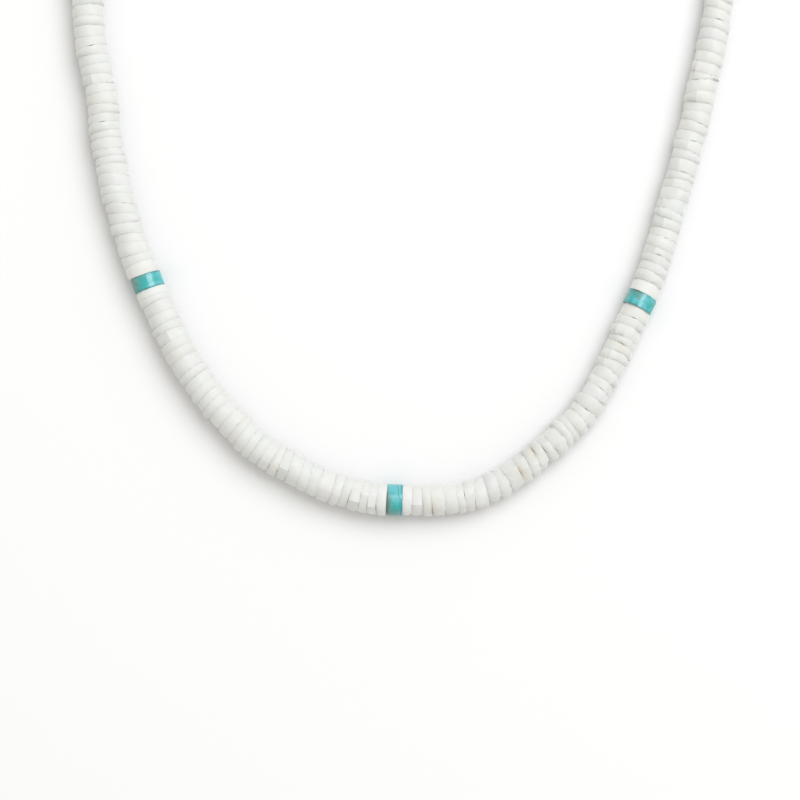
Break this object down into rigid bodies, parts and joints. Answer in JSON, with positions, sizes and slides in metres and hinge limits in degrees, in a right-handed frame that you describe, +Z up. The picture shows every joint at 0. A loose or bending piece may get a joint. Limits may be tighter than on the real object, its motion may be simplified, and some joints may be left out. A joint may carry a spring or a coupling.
{
  "type": "heishi bead necklace",
  "caption": "Closed loop of drilled white shell discs lying flat, with turquoise discs spaced round the front and a barrel clasp at the back.",
  "frame": {"origin": "middle of the loop's outline, on the surface it lies on", "axes": "+Z up from the surface, -Y towards the front of the necklace, +Y towards the clasp, +X towards the right turquoise bead seen from above"},
  "size_m": [0.1275, 0.1679, 0.006],
  "materials": {
    "shell": "satin ground white shell",
    "turquoise": "polished turquoise with a little brown matrix",
    "thread": "twisted white thread",
    "clasp_metal": "polished silver"
  },
  "bodies": {
    "root": {"shell_beads_left": "shell", "shell_beads_right": "shell", "turquoise_bead_left": "turquoise", "turquoise_bead_middle": "turquoise", "turquoise_bead_right": "turquoise", "thread": "thread", "clasp": "clasp_metal"}
  },
  "joints": []
}
